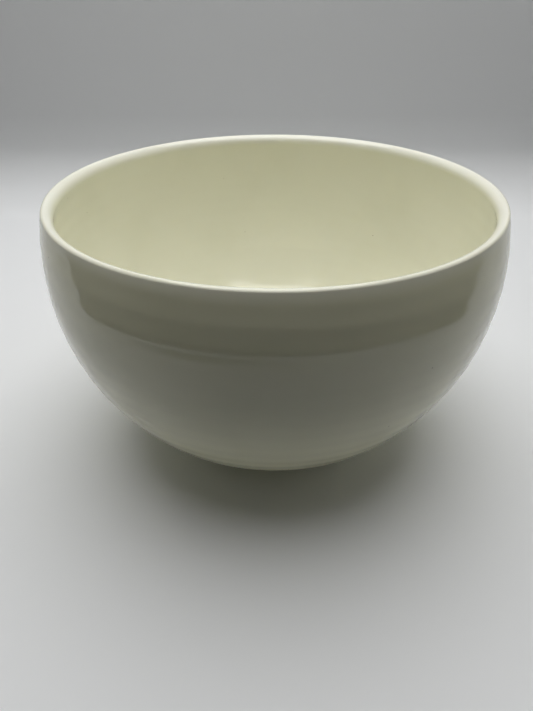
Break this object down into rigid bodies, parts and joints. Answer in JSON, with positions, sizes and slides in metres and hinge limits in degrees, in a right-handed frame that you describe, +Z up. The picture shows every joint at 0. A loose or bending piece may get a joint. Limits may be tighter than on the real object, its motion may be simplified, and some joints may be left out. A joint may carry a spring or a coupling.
{
  "type": "porcelain serving bowl",
  "caption": "Deep round serving bowl of ivory glazed porcelain, its wall curving in to a rounded lip, on a low turned foot ring.",
  "frame": {"origin": "middle of the circle that the foot stands on", "axes": "+Z up along the bowl's axis of turning; X and Y are any two directions square to it"},
  "size_m": [0.23, 0.23, 0.145],
  "materials": {
    "fired_porcelain": "matt, bare fired clay",
    "joining_slip": "matt",
    "ivory_glaze": "gloss"
  },
  "bodies": {
    "root": {"bowl_body": "fired_porcelain", "foot_ring": "fired_porcelain", "foot_slip_joint": "joining_slip", "inside_glaze": "ivory_glaze", "outside_glaze": "ivory_glaze", "foot_well_glaze": "ivory_glaze"}
  },
  "joints": []
}
